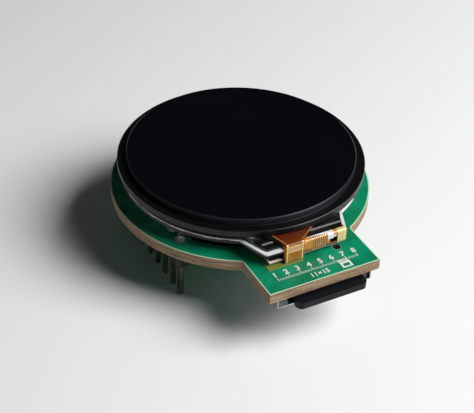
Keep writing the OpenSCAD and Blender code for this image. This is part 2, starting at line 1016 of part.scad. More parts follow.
module regulator_body() {
  color("#202020")
    difference() {
      sot_body(regulator_at);
      sot_leads(regulator_at, [-1, 0, 1], [-1, 1]);
    }
}

module regulator_leads() {
  color("silver")
    sot_leads(regulator_at, [-1, 0, 1], [-1, 1]);
}

module transistor_body() {
  color("#202020")
    difference() {
      sot_body(transistor_at);
      sot_leads(transistor_at, [-1, 1], [0]);
    }
}

module transistor_leads() {
  color("silver")
    sot_leads(transistor_at, [-1, 1], [0]);
}

// Ceramic body of a chip part, between its two metal ends
module chip_core(at, h) {
  block([passive_w - 2 * terminal_l, passive_l, h], at, board_z - h);
}

module chip_ends(at, h) {
  for (side = [-1, 1]) {
    block([terminal_l, passive_l + 2 * terminal_skin, h + terminal_skin],
          [at[0] + side * (passive_w - terminal_l) / 2, at[1]], board_z - h - terminal_skin);
  }
}

module capacitors() {
  color("tan")
    for (at = capacitor_at) {
      chip_core(at, capacitor_h);
    }
}

module resistors() {
  color("#1d1d22")
    for (at = resistor_at) {
      chip_core(at, resistor_h);
    }
}

module chip_terminals() {
  color("silver") {
    for (at = capacitor_at) {
      chip_ends(at, capacitor_h);
    }
    for (at = resistor_at) {
      chip_ends(at, resistor_h);
    }
  }
}

pcb();
solder_joints();
header_left_body();
header_right_body();
header_left_pins();
header_right_pins();
card_socket_body();
card_socket_shell();
card_socket_contacts();
card_detect_spring();
memory_card();
memory_card_pads();
mounting_foam();
flex_foam();
flex_stiffener();
display_flex();
flex_solder();
touch_flex();
touch_controller();
backlight_frame();
reflector_film();
light_guide();
diffuser_film();
prism_film();
backlight_leds();
led_strip();
rear_polariser();
array_glass();
color_filter_glass();
front_polariser();
driver_chip();
light_shield_tape();
lens_adhesive();
touch_sensor();
cover_lens();
regulator_body();
regulator_leads();
transistor_body();
transistor_leads();
capacitors();
resistors();
chip_terminals();
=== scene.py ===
"""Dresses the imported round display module: a finish for every CAD node, and thin layers on them.

The board gets its solder mask, tinned pads, vias and printed marks, the folded flexible circuits
get their copper, and the socket, pins and glass get finishes with their own grain and wear. All
lengths in the classes are in millimetres and are turned into metres where the meshes are made.
"""

import logging
import math
from dataclasses import dataclass, field
from enum import Enum

import bpy
from mathutils import Matrix, Vector

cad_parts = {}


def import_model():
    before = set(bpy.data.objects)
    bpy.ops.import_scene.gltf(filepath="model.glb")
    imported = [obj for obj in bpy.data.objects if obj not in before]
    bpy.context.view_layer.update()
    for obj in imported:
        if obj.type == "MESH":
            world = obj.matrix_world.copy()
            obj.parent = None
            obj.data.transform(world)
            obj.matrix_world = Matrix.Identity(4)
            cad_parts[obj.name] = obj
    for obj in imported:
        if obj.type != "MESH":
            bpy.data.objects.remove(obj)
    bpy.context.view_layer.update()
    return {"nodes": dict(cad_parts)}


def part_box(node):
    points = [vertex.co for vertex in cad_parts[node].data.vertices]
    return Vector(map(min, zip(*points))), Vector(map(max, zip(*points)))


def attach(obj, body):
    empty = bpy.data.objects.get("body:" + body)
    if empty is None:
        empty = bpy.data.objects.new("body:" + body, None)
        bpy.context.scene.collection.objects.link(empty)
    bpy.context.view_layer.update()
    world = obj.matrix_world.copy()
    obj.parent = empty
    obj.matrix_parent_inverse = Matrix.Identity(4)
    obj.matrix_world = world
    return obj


LOG = logging.getLogger("display_module")
MM = 0.001
NOISE_LOW, NOISE_HIGH = 0.3, 0.7  # the middle range of a noise texture's factor
TYPE_WEIGHT = 0.02  # how much printed numbers are thickened, as a share of their height
WHITE = (1.0, 1.0, 1.0)
BLACK = (0.0, 0.0, 0.0)
Colour = tuple[float, float, float]
Point = tuple[float, float]
Span = tuple[float, float]
Spot = tuple[float, float, float]
Box = tuple[float, float, float, float]
Socket = bpy.types.NodeSocket
Thing = bpy.types.Object


def srgb(red: float, green: float, blue: float) -> Colour:
    """Returns the linear colour of an 8-bit screen colour."""

    def channel(value: float) -> float:
        """Returns one channel as linear light."""
        v = value / 255
        return v / 12.92 if v <= 0.04045 else ((v + 0.055) / 1.055) ** 2.4

    return channel(red), channel(green), channel(blue)


# ---------------------------------------------------------------- finishes


class NodeSheet:
    """One material's node tree, with short ways to add and join its nodes."""

    def __init__(self, name: str) -> None:
        """Starts an empty tree with an output and a principled shader.

        Args:
            name: Name of the material.
        """
        self.material = bpy.data.materials.new(name)
        self.material.use_nodes = True
        self.tree = self.material.node_tree
        self.tree.nodes.clear()
        self.output = self.tree.nodes.new("ShaderNodeOutputMaterial")
        self.shader = self.tree.nodes.new("ShaderNodeBsdfPrincipled")
        self.join(self.shader.outputs["BSDF"], self.output.inputs["Surface"])
        self.place = self.tree.nodes.new("ShaderNodeTexCoord").outputs["Object"]

    def join(self, source: Socket, target: Socket) -> None:
        """Links one output to one input."""
        self.tree.links.new(source, target)

    def fix(self, **values: float) -> None:
        """Sets constants on the shader's own sockets, underscores standing for spaces."""
        for name, value in values.items():
            self.shader.inputs[name.replace("_", " ")].default_value = value

    def stretched(self, scale: Spot) -> Socket:
        """Returns the object coordinates with each axis multiplied."""
        node = self.tree.nodes.new("ShaderNodeMapping")
        node.inputs["Scale"].default_value = scale
        self.join(self.place, node.inputs["Vector"])
        return node.outputs["Vector"]

    def noise(
        self,
        scale: float,
        detail: float = 3.0,
        vector: Socket | None = None,
        roughness: float = 0.5,
    ) -> Socket:
        """Adds a noise texture.

        Args:
            scale: Features per metre.
            detail: Octaves.
            vector: Coordinates, or None for the object's own.
            roughness: Weight of the fine octaves.

        Returns:
            The noise's factor.
        """
        node = self.tree.nodes.new("ShaderNodeTexNoise")
        node.inputs["Scale"].default_value = scale
        node.inputs["Detail"].default_value = detail
        node.inputs["Roughness"].default_value = roughness
        self.join(vector or self.place, node.inputs["Vector"])
        return node.outputs["Fac"]

    def cells(self, scale: float) -> Socket:
        """Adds a Voronoi texture and returns its distance."""
        node = self.tree.nodes.new("ShaderNodeTexVoronoi")
        node.inputs["Scale"].default_value = scale
        self.join(self.place, node.inputs["Vector"])
        return node.outputs["Distance"]

    def ramp(self, factor: Socket, stops: list[tuple[float, Colour]]) -> Socket:
        """Turns a factor into a colour through stops.

        Args:
            factor: The value to look up.
            stops: Places from 0 to 1 with their colours.

        Returns:
            The colour.
        """
        node = self.tree.nodes.new("ShaderNodeValToRGB")
        marks = node.color_ramp.elements
        marks[0].position, marks[0].color = stops[0][0], (*stops[0][1], 1)
        marks[1].position, marks[1].color = stops[-1][0], (*stops[-1][1], 1)
        for place, colour in stops[1:-1]:
            marks.new(place).color = (*colour, 1)
        self.join(factor, node.inputs["Fac"])
        return node.outputs["Color"]

    def shades(self, factor: Socket, dark: Colour, light: Colour) -> Socket:
        """Turns a factor's middle range into a colour from dark to light."""
        return self.ramp(factor, [(NOISE_LOW, dark), (NOISE_HIGH, light)])

    def spread(self, factor: Socket, low: float, high: float) -> Socket:
        """Maps a factor's middle range onto low to high."""
        node = self.tree.nodes.new("ShaderNodeMapRange")
        node.inputs["From Min"].default_value = NOISE_LOW
        node.inputs["From Max"].default_value = NOISE_HIGH
        node.inputs["To Min"].default_value = low
        node.inputs["To Max"].default_value = high
        self.join(factor, node.inputs["Value"])
        return node.outputs["Result"]

    def blend(self, factor: Socket, first: Socket | Colour, second: Socket | Colour) -> Socket:
        """Mixes two colours by a factor and returns the result."""
        node = self.tree.nodes.new("ShaderNodeMix")
        node.data_type = "RGBA"
        self.join(factor, node.inputs["Factor"])
        for name, value in (("A", first), ("B", second)):
            socket = [s for s in node.inputs if s.name == name and s.type == "RGBA"][0]
            if isinstance(value, Socket):
                self.join(value, socket)
            else:
                socket.default_value = (*value, 1)
        return [s for s in node.outputs if s.type == "RGBA"][0]

    def axis(self, index: int, low: float, high: float) -> Socket:
        """Returns 0 to 1 as one object coordinate goes from low to high.

        Args:
            index: 0, 1 or 2 for X, Y or Z.
            low: Coordinate in metres where the result is 0.
            high: Coordinate in metres where the result is 1.

        Returns:
            The clamped share.
        """
        split = self.tree.nodes.new("ShaderNodeSeparateXYZ")
        self.join(self.place, split.inputs["Vector"])
        node = self.tree.nodes.new("ShaderNodeMapRange")
        node.inputs["From Min"].default_value = low
        node.inputs["From Max"].default_value = high
        self.join(split.outputs[index], node.inputs["Value"])
        return node.outputs["Result"]

    def colour(self, source: Socket) -> None:
        """Uses a colour as the base colour."""
        self.join(source, self.shader.inputs["Base Color"])

    def rough(self, source: Socket) -> None:
        """Uses a value as the roughness."""
        self.join(source, self.shader.inputs["Roughness"])

    def bump(self, height: Socket, depth: float) -> None:
        """Raises the surface by a height.

        Args:
            height: The height's factor.
            depth: Depth in millimetres of a factor of 1.
        """
        node = self.tree.nodes.new("ShaderNodeBump")
        node.inputs["Strength"].default_value = 1.0
        node.inputs["Distance"].default_value = depth * MM
        self.join(height, node.inputs["Height"])
        self.join(node.outputs["Normal"], self.shader.inputs["Normal"])


@dataclass(frozen=True)
class Finish:
    """A grained finish: two close colours, a range of roughness and a fine bump."""

    name: str
    dark: Colour
    light: Colour
    rough: Span = (0.4, 0.6)
    grain: float = 4000.0
    bump: float = 0.004
    metallic: float = 0.0
    specular: float = 0.5
    coat: float = 0.0
    ior: float = 1.5

    def sheet(self) -> NodeSheet:
        """Returns the node sheet with the colours, roughness, bump and constants in place."""
        sheet = NodeSheet(self.name)
        sheet.fix(Metallic=self.metallic, Coat_Weight=self.coat)
        sheet.fix(Specular_IOR_Level=self.specular, IOR=self.ior)
        grain = sheet.noise(self.grain)
        cloud = sheet.noise(self.grain / 9, detail=2)
        sheet.colour(sheet.shades(cloud, self.dark, self.light))
        sheet.rough(sheet.spread(grain, *self.rough))
        sheet.bump(grain, self.bump)
        return sheet

    def make(self) -> bpy.types.Material:
        """Returns the material."""
        return self.sheet().material


@dataclass(frozen=True)
class Metal(Finish):
    """Drawn or plated metal with fine lines along one axis."""

    lines: Spot = (1.0, 0.05, 1.0)

    def sheet(self) -> NodeSheet:
        """Returns the sheet with lines in its roughness and bump."""
        sheet = NodeSheet(self.name)
        sheet.fix(Metallic=1.0, Coat_Weight=self.coat, Specular_IOR_Level=self.specular)
        lines = sheet.noise(self.grain * 3, detail=2, vector=sheet.stretched(self.lines))
        cloud = sheet.noise(self.grain / 6, detail=3)
        sheet.colour(sheet.ramp(cloud, [(0.25, self.dark), (0.75, self.light)]))
        sheet.rough(sheet.spread(lines, *self.rough))
        sheet.bump(lines, self.bump)
        return sheet


@dataclass(frozen=True)
class BoardCore(Finish):
    """Milled edge of a glass-fibre board: thin layers, fibre ends and pale specks."""

    layer: float = 0.2
    speck: Colour = srgb(226, 214, 188)
    face: Colour = srgb(196, 222, 190)
    face_z: float = 4.1
    face_fade: float = 0.03

    def sheet(self) -> NodeSheet:
        """Returns the sheet with layers across the board's thickness."""
        sheet = NodeSheet(self.name)
        sheet.fix(Specular_IOR_Level=self.specular)
        along = sheet.stretched((0.06, 0.06, 1.0))
        layers = sheet.noise(1.0 / (self.layer * MM), detail=2, vector=along)
        fibres = sheet.noise(self.grain, detail=4, roughness=0.7)
        base = sheet.shades(layers, self.dark, self.light)
        ends = sheet.ramp(fibres, [(0.60, BLACK), (0.70, WHITE)])
        edge = sheet.blend(ends, base, self.speck)
        top = sheet.axis(2, self.face_z * MM, (self.face_z + self.face_fade) * MM)
        sheet.colour(sheet.blend(top, edge, self.face))
        sheet.rough(sheet.spread(fibres, *self.rough))
        sheet.bump(fibres, self.bump)
        return sheet


@dataclass(frozen=True)
class SolderMask(Finish):
    """Glossy green mask over copper, a little darker where there is none under it."""

    def sheet(self) -> NodeSheet:
        """Returns the sheet with soft patches of copper pour under the mask."""
        sheet = NodeSheet(self.name)
        sheet.fix(Specular_IOR_Level=self.specular, Coat_Weight=self.coat, Coat_Roughness=0.25)
        pour = sheet.noise(260, detail=1.5)
        grain = sheet.noise(self.grain, detail=4)
        base = sheet.ramp(pour, [(0.42, self.dark), (0.56, self.light)])
        fine = sheet.shades(grain, (0.86, 0.86, 0.86), WHITE)
        tint = sheet.tree.nodes.new("ShaderNodeMix")
        tint.data_type, tint.blend_type = "RGBA", "MULTIPLY"
        tint.inputs[0].default_value = 1.0
        sheet.join(base, tint.inputs[6])
        sheet.join(fine, tint.inputs[7])
        sheet.colour(tint.outputs[2])
        sheet.rough(sheet.spread(grain, *self.rough))
        sheet.bump(sheet.noise(1400, detail=3), self.bump)
        return sheet


@dataclass(frozen=True)
class FlexFilm(Finish):
    """Amber film that is darker where it lies over black, and takes another tone at its foot. On
    the display flex the foot tone is painted shade of its lower fold; on the touch flex it is the
    film's tint over the green board.
    """

    deep: Colour = (0.05, 0.015, 0.004)
    deep_above: float = 7.0
    fade: float = 0.4
    foot: Colour = (0.15, 0.06, 0.01)
    foot_below: float = 4.3
    foot_fade: float = 0.5

    def sheet(self) -> NodeSheet:
        """Returns the sheet with its colour turning with height."""
        sheet = NodeSheet(self.name)
        sheet.fix(Specular_IOR_Level=self.specular, Coat_Weight=self.coat, Coat_Roughness=0.12)
        cloud = sheet.noise(self.grain / 4, detail=3)
        amber = sheet.shades(cloud, self.dark, self.light)
        rise = sheet.axis(2, self.deep_above * MM, (self.deep_above + self.fade) * MM)
        film = sheet.blend(rise, amber, self.deep)
        # foot tone: painted shade on the display flex, the film's tint over the green board on the
        # touch flex
        start = sheet.axis(2, self.foot_below * MM, (self.foot_below + self.foot_fade) * MM)
        sheet.colour(sheet.blend(start, self.foot, film))
        sheet.rough(sheet.spread(sheet.noise(self.grain), *self.rough))
        sheet.bump(cloud, self.bump)
        return sheet


@dataclass(frozen=True)
class GroundGlass(Finish):
    """Black glass, polished on top, with a paler satin edge below a height, partly the ground
    glass's own grey and partly a painted highlight on the bevel and side.
    """

    edge: Colour = (0.01, 0.01, 0.012)
    edge_rough: float = 0.4
    face_z: float = 9.556
    face_fade: float = 0.01

    def sheet(self) -> NodeSheet:
        """Returns the sheet with the paler edge, partly painted highlight, under the polished face.
        """
        sheet = NodeSheet(self.name)
        sheet.fix(Specular_IOR_Level=self.specular)
        grain = sheet.noise(self.grain)
        cloud = sheet.noise(self.grain / 9, detail=2)
        polished = sheet.axis(2, self.face_z * MM, (self.face_z + self.face_fade) * MM)
        face = sheet.shades(cloud, self.dark, self.light)
        # edge colour: the ground glass's grey and a painted highlight along the bevel and side
        sheet.colour(sheet.blend(polished, self.edge, face))
        ground = (self.edge_rough,) * 3
        smooth = sheet.shades(grain, (self.rough[0],) * 3, (self.rough[1],) * 3)
        sheet.rough(sheet.blend(polished, ground, smooth))
        sheet.bump(grain, self.bump)
        return sheet


@dataclass(frozen=True)
class Foam(Finish):
    """Closed-cell foam with small open pits."""

    def sheet(self) -> NodeSheet:
        """Returns the sheet with pits from cell noise."""
        sheet = NodeSheet(self.name)
        sheet.fix(Specular_IOR_Level=self.specular)
        pits = sheet.cells(self.grain)
        sheet.colour(sheet.ramp(pits, [(0.1, self.dark), (0.6, self.light)]))
        sheet.rough(sheet.spread(pits, *self.rough))
        sheet.bump(pits, self.bump)
        return sheet


@dataclass(frozen=True)
class TableTop(Finish):
    """White table with painted shade: its colour falls off to a soft grey toward the back, as the
    light would.
    """

    far_painted_shade: Colour = (0.9, 0.9, 0.91)
    fall_from: float = -20.0
    fall_to: float = 160.0

    def sheet(self) -> NodeSheet:
        """Returns the sheet with a slow painted shade across the table."""
        sheet = NodeSheet(self.name)
        sheet.fix(Specular_IOR_Level=self.specular)
        # painted shade: the table's colour darkens toward the back in place of the light's falloff
        painted_shade_fall = sheet.axis(1, self.fall_from * MM, self.fall_to * MM)
        grain = sheet.noise(self.grain)
        sheet.colour(sheet.ramp(painted_shade_fall, [(0.0, self.light), (1.0, self.far_painted_shade)]))
        sheet.rough(sheet.spread(grain, *self.rough))
        return sheet


class FinishName(Enum):
    """Every finish of the module, each made once."""

    CORE = BoardCore(
        "board_core", srgb(116, 92, 70), srgb(176, 152, 122), (0.7, 0.9), 5200, 0.02, specular=0.25,
    )
    MASK = SolderMask(
        "green_mask", srgb(3, 126, 86), srgb(4, 146, 104), (0.34, 0.46), 2600, 0.006, specular=0.3,
        coat=0.05,
    )
    INK = Finish(
        "white_ink", srgb(214, 216, 212), srgb(236, 238, 234), (0.55, 0.7), 7000, 0.004,
        specular=0.3,
    )
    TIN = Metal("bright_tin", srgb(170, 172, 174), srgb(222, 222, 220), (0.16, 0.34), 1500, 0.006)
    SOLDER = Finish(
        "bright_solder", srgb(196, 198, 200), srgb(236, 236, 234), (0.18, 0.3), 2600, 0.008, 0.5,
    )
    GOLD = Metal(
        "gold_plate", srgb(196, 150, 70), srgb(240, 202, 120), (0.18, 0.34), 1500, 0.003,
        lines=(1, 1, 0.05),
    )
    COPPER = Finish(
        "covered_copper", srgb(206, 140, 84), srgb(240, 184, 122), (0.24, 0.36), 1800, 0.003, 0.35,
        coat=0.3,
    )
    PINK_COPPER = Finish(
        "folded_copper", srgb(214, 156, 116), srgb(246, 200, 156), (0.24, 0.36), 1800, 0.003, 0.3,
        coat=0.3,
    )
    # bright gold for ground strips and traces, also used for the painted highlight line on the
    # touch flex's fold
    GOLD_AND_HIGHLIGHT = Finish(
        "fold_gold", srgb(240, 202, 118), srgb(255, 238, 176), (0.2, 0.3), 1500, 0.002, 0.1,
        coat=0.4,
    )
    UMBER = Finish(
        "umber_film", srgb(70, 46, 28), srgb(96, 64, 40), (0.26, 0.36), 1500, 0.002, coat=0.2,
    )
    STEEL = Metal(
        "stainless_sheet", srgb(150, 150, 150), srgb(206, 206, 204), (0.2, 0.38), 1300, 0.004,
    )
    # steel darkened far below bare steel: painted shade in the card socket's mouth
    STEEL_PAINTED_SHADE = Metal("dull_steel", srgb(58, 60, 60), srgb(86, 88, 87), (0.42, 0.56), 1300, 0.003)
    # pin metal darkened below bare tin: partly a tin tone, partly painted shade of the deep shadow
    # under the board
    PIN = Metal(
        "pin_tin_painted_shade", srgb(104, 100, 88), srgb(142, 136, 120), (0.3, 0.44), 1500, 0.003,
        lines=(1, 1, 0.05),
    )
    HEADER = Finish(
        "moulded_black", srgb(14, 14, 15), srgb(22, 22, 23), (0.45, 0.62), 5000, 0.006,
        specular=0.4,
    )
    SOCKET = Finish(
        "socket_black", srgb(16, 16, 18), srgb(26, 26, 28), (0.5, 0.66), 6000, 0.005, specular=0.35,
    )
    CARD = Finish(
        "card_shell", srgb(6, 8, 13), srgb(12, 15, 24), (0.34, 0.46), 6500, 0.005, specular=0.2,
    )
    FOAM = Foam(
        "black_foam", srgb(6, 6, 7), srgb(18, 18, 19), (0.85, 0.98), 5200, 0.03, specular=0.1,
    )
    STIFFENER = Finish(
        "pale_stiffener", srgb(206, 178, 166), srgb(236, 216, 208), (0.5, 0.7), 3000, 0.004,
        specular=0.3,
    )
    # the darker brown below 5.2 mm is painted shade over the lower fold and tail
    DISPLAY_FLEX = FlexFilm(
        "amber_film", srgb(176, 104, 30), srgb(222, 156, 60), (0.2, 0.32), 1600, 0.004, coat=0.3,
        deep=srgb(90, 52, 20), deep_above=7.5, foot=srgb(70, 46, 18), foot_below=5.2, foot_fade=0.5,
    )
    TOUCH_FLEX = FlexFilm(
        "brown_film", srgb(160, 88, 20), srgb(206, 128, 40), (0.2, 0.3), 1600, 0.004, specular=0.2,
        coat=0.05, deep=srgb(84, 28, 4), deep_above=6.98, fade=0.5, foot=srgb(118, 128, 66),
        foot_below=4.3, foot_fade=0.9,
    )
    FRAME = Finish(
        "white_frame", srgb(222, 224, 224), srgb(240, 241, 240), (0.38, 0.52), 4200, 0.004,
        specular=0.4,
    )
    FILM_WHITE = Finish(
        "reflector_white", srgb(230, 230, 228), srgb(244, 244, 242), (0.4, 0.6), 3000, 0.002,
    )
    FILM_CLEAR = Finish(
        "clear_film", srgb(196, 208, 214), srgb(214, 222, 226), (0.15, 0.3), 3000, 0.001,
    )
    GUIDE = Finish("light_guide", srgb(208, 220, 226), srgb(226, 234, 238), (0.1, 0.25), 1800, 0.01)
    LED = Finish("led_body", srgb(226, 210, 120), srgb(244, 232, 160), (0.3, 0.5), 5000, 0.003)
    POLARISER = Finish(
        "polariser", srgb(16, 18, 22), srgb(26, 28, 34), (0.12, 0.24), 2600, 0.001, specular=0.35,
    )
    CELL_GLASS = Finish(
        "cell_glass", srgb(24, 30, 34), srgb(34, 42, 46), (0.05, 0.14), 1500, 0.0006,
    )
    CHIP = Finish(
        "driver_silicon", srgb(84, 86, 92), srgb(110, 112, 118), (0.12, 0.26), 3200, 0.001,
    )
    TAPE = Finish(
        "black_tape", srgb(7, 7, 8), srgb(14, 14, 15), (0.32, 0.46), 3600, 0.004, specular=0.4,
    )
    ADHESIVE = Finish(
        "clear_adhesive", srgb(120, 128, 134), srgb(140, 148, 152), (0.1, 0.2), 1600, 0.001,
    )
    TOUCH_GLASS = Finish(
        "touch_glass", srgb(8, 8, 10), srgb(12, 12, 15), (0.3, 0.38), 2400, 0.0015, specular=0.32,
    )
    # the paler edge colour is partly a painted highlight on the lens's bevel and side
    LENS_GLASS = GroundGlass(
        "lens_glass", srgb(6, 7, 11), srgb(8, 9, 14), (0.1, 0.13), 700, 0.0002, specular=0.16,
        edge=srgb(32, 33, 38),
    )
    BEAD = Finish(
        "bond_bead", srgb(18, 19, 22), srgb(30, 31, 35), (0.3, 0.4), 3000, 0.003, specular=0.25,
    )
    EPOXY = Finish(
        "moulded_epoxy", srgb(22, 22, 23), srgb(34, 34, 35), (0.5, 0.66), 6500, 0.006,
        specular=0.35,
    )
    CERAMIC = Finish(
        "tan_ceramic", srgb(150, 122, 92), srgb(176, 148, 114), (0.45, 0.6), 5200, 0.004,
    )
    RESISTOR = Finish(
        "resistor_glaze", srgb(14, 14, 17), srgb(24, 24, 28), (0.25, 0.4), 5200, 0.002,
    )
    TABLE = TableTop(
        "table_top", (0.95, 0.95, 0.955), (0.97, 0.97, 0.97), (0.5, 0.6), 300, specular=0.2,
    )


@dataclass
class Paintbox:
    """Keeps one material of each finish."""

    made: dict[FinishName, bpy.types.Material] = field(default_factory=dict)

    def get(self, finish: FinishName) -> bpy.types.Material:
        """Returns the material of a finish, made at its first use."""
        if finish not in self.made:
            self.made[finish] = finish.value.make()
        return self.made[finish]

    def dress(self, thing: Thing, finish: FinishName) -> Thing:
        """Gives an object one finish in place of what it had."""
        thing.data.materials.clear()
        thing.data.materials.append(self.get(finish))
        return thing


# ---------------------------------------------------------------- mesh helpers


def arc(center: Point, radius: float, start: float, end: float, steps: int) -> list[Point]:
    """Returns points on an arc, its angles in degrees.

    Args:
        center: Centre of the arc.
        radius: Radius of the arc.
        start: First angle.
        end: Last angle.
        steps: Number of spans.

    Returns:
        The points from start to end.
    """
    angles = [math.radians(start + (end - start) * i / steps) for i in range(steps + 1)]
    return [(center[0] + radius * math.cos(a), center[1] + radius * math.sin(a)) for a in angles]


def block(x0: float, y0: float, x1: float, y1: float) -> list[Point]:
    """Returns a rectangle's corners, anticlockwise, or clockwise where x0 is the greater."""
    return [(x0, y0), (x1, y0), (x1, y1), (x0, y1)]


def row(start: float, width: float, step: float, count: int) -> list[Span]:
    """Returns the left and right sides of equal strips in a row."""
    return [(start + i * step, start + i * step + width) for i in range(count)]


def walls(base: int, count: int) -> list[tuple[int, ...]]:
    """Returns the faces between two rings of corners, the first ring starting at base."""
    ring = [(i, (i + 1) % count) for i in range(count)]
    return [(base + i, base + j, base + j + count, base + i + count) for i, j in ring]


def piece(name: str, points: list[Spot], faces: list[tuple[int, ...]]) -> Thing:
    """Makes a mesh object from points in millimetres.

    Args:
        name: Name of the object.
        points: Corners in millimetres.
        faces: Corner numbers of each face.

    Returns:
        The object, linked to the scene.
    """
    mesh = bpy.data.meshes.new(name)
    mesh.from_pydata([(x * MM, y * MM, z * MM) for x, y, z in points], [], faces)
    mesh.validate()
    mesh.update()
    thing = bpy.data.objects.new(name, mesh)
    bpy.context.scene.collection.objects.link(thing)
    return thing


def settle(source: Thing, name: str) -> Thing:
    """Turns a curve or text object into a plain mesh at the origin.

    Args:
        source: The curve or text object, which is removed.
        name: Name of the new object.

    Returns:
        The mesh object.
    """
    bpy.context.view_layer.update()
    evaluated = source.evaluated_get(bpy.context.evaluated_depsgraph_get())
    mesh = bpy.data.meshes.new_from_object(evaluated)
    mesh.transform(source.matrix_world)
    mesh.name = name
    bpy.data.objects.remove(source)
    thing = bpy.data.objects.new(name, mesh)
    bpy.context.scene.collection.objects.link(thing)
    return thing


def sheet_piece(name: str, loops: list[list[Point]], low: float, high: float) -> Thing:
    """Makes a flat piece from closed loops, the inner ones being holes.

    Args:
        name: Name of the piece.
        loops: Closed outlines in millimetres.
        low: Height of its lower face.
        high: Height of its upper face.

    Returns:
        The mesh object.
    """
    curve = bpy.data.curves.new(name, "CURVE")
    curve.dimensions = "2D"
    curve.fill_mode = "BOTH"
    curve.extrude = (high - low) / 2 * MM
    for loop in loops:
        spline = curve.splines.new("POLY")
        spline.points.add(len(loop) - 1)
        for mark, (x, y) in zip(spline.points, loop):
            mark.co = (x * MM, y * MM, 0, 1)
        spline.use_cyclic_u = True
    source = bpy.data.objects.new(name + "_outline", curve)
    source.location = (0, 0, (high + low) / 2 * MM)
    bpy.context.scene.collection.objects.link(source)
    return settle(source, name)


def strip_piece(name: str, path: list[Point], sides: list[Span], thickness: float) -> Thing:
    """Makes parallel flat strips that lie on one side of a path of (y, z) points.

    Args:
        name: Name of the piece.
        path: Points of the strips' inner faces.
        sides: Left and right x of each strip.
        thickness: Thickness, to the left of the path's direction.

    Returns:
        The mesh object.
    """
    outer = []
    for i, (y, z) in enumerate(path):
        before, after = path[max(i - 1, 0)], path[min(i + 1, len(path) - 1)]
        dy, dz = after[0] - before[0], after[1] - before[1]
        length = math.hypot(dy, dz)
        outer.append((y - dz / length * thickness, z + dy / length * thickness))
    points: list[Spot] = []
    faces: list[tuple[int, ...]] = []
    count = len(path)
    for left, right in sides:
        base = len(points)
        for x, line in ((left, path), (right, path), (right, outer), (left, outer)):
            points += [(x, y, z) for y, z in line]
        for i in range(count - 1):
            for k in range(4):
                a, b = base + k * count + i, base + (k + 1) % 4 * count + i
                faces.append((a, a + 1, b + 1, b))
        faces.append(tuple(base + k * count for k in range(4)))
        faces.append(tuple(base + k * count + count - 1 for k in (3, 2, 1, 0)))
    return piece(name, points, faces)


def turned_piece(name: str, profile: list[Point], segments: int = 180) -> Thing:
    """Makes a closed ring by turning a closed profile of (r, z) points about Z.

    Args:
        name: Name of the piece.
        profile: Closed profile in millimetres.
        segments: Number of steps round the axis.

    Returns:
        The mesh object, shaded smooth.
    """
    points, faces, n = [], [], len(profile)
    for s in range(segments):
        a = 2 * math.pi * s / segments
        points += [(r * math.cos(a), r * math.sin(a), z) for r, z in profile]
    for s in range(segments):
        t = (s + 1) % segments
        for i in range(n):
            j = (i + 1) % n
            faces.append((s * n + i, t * n + i, t * n + j, s * n + j))
    thing = piece(name, points, faces)
    thing.data.shade_smooth()
    return thing


def text_piece(
    name: str, words: str, at: Point, height: float, low: float, high: float, turned: bool = False
) -> Thing:
    """Makes printed numbers as a thin layer of ink.

    Args:
        name: Name of the piece.
        words: The digits to print.
        at: Centre of the print.
        height: Size of the type in millimetres.
        low: Height of the layer's lower face.
        high: Height of the layer's upper face.
        turned: True for print on the underside, read from below.

    Returns:
        The mesh object.
    """
    curve = bpy.data.curves.new(name, "FONT")
    curve.body = words
    curve.size = height * MM
    curve.align_x = "CENTER"
    curve.align_y = "CENTER"
    curve.resolution_u = 3
    curve.offset = TYPE_WEIGHT * height * MM
    curve.extrude = (high - low) / 2 * MM
    source = bpy.data.objects.new(name + "_type", curve)
    source.location = (at[0] * MM, at[1] * MM, (high + low) / 2 * MM)
    if turned:
        source.rotation_euler = (math.pi, 0, 0)
    bpy.context.scene.collection.objects.link(source)
    return settle(source, name)


# ---------------------------------------------------------------- sub-assemblies


@dataclass
class Module:
    """What all sub-assemblies share: the paints and the body that they ride on."""

    paints: Paintbox
    body: str = "module"

    def add(self, thing: Thing, finish: FinishName, slot: str) -> Thing:
        """Dresses a new piece and makes it ride on the body.

        Args:
            thing: The new piece.
            finish: Its finish.
            slot: Name of a material slot; not used.

        Returns:
            The piece.
        """
        self.paints.dress(thing, finish)
        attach(thing, self.body)
        return thing


@dataclass(frozen=True)
class BoardPrint:
    """Sizes and places of the print: a row of numbers, a scale under it, and the card's mark."""

    first_x: float = -6.1
    number_y: float = -21.45
    number_step: float = 1.77
    number_h: float = 1.35
    numbers: int = 8
    tick_y: float = -22.72
    tick_step: float = 0.295
    tick_half: float = 0.05
    tick_short: float = 0.36
    tick_long: float = 0.62
    ticks: int = 43
    long_every: int = 6
    size_at: Point = (-0.3, -23.62)
    size_h: float = 1.15
    card: tuple[Point, ...] = (
        (3.1, -24.15), (4.7, -24.15), (4.7, -22.95), (4.45, -22.7), (4.45, -22.35), (3.1, -22.35),
    )
    contact: Box = (3.42, -22.95, 3.3, -22.5)
    contact_step: float = 0.27
    contacts: int = 4
    window: Box = (4.4, -23.9, 3.4, -23.3)
    pin_number_h: float = 1.2
    pin_number_in: float = 2.2


